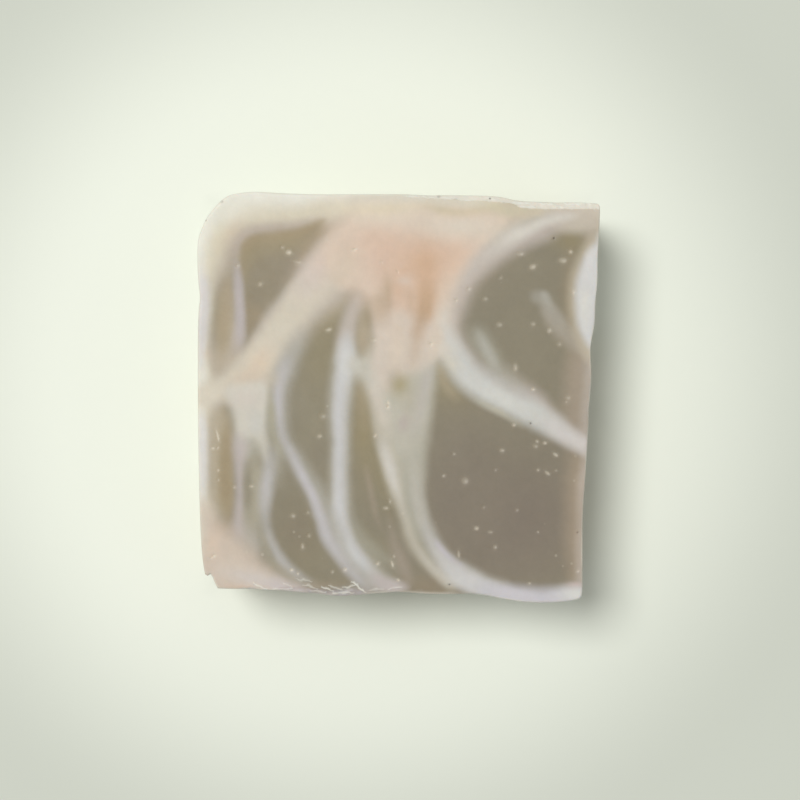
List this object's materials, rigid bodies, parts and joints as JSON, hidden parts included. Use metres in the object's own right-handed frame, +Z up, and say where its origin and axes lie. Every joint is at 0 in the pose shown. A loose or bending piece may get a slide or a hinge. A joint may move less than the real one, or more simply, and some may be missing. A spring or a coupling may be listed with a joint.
{
  "type": "bar of soap",
  "caption": "Square hand-cut bar of marbled soap: a flat slice of a poured loaf with a soft corner, wavy sides and torn rims, lying on a cut face for washing.",
  "frame": {"origin": "middle of the resting cut face's bounding box, on the surface that the bar lies on", "axes": "+Z up through the slice's thickness, towards the cut face that shows; +Y along the longest side, towards the torn rim; +X towards the wavy side that leans in"},
  "size_m": [0.0726, 0.074, 0.025],
  "materials": {
    "soap": "waxy satin soap, slightly translucent: taupe olive ground with milk-white, cream and salmon swirls and small air pits"
  },
  "bodies": {
    "root": {"soap_bar": "soap"}
  },
  "joints": []
}
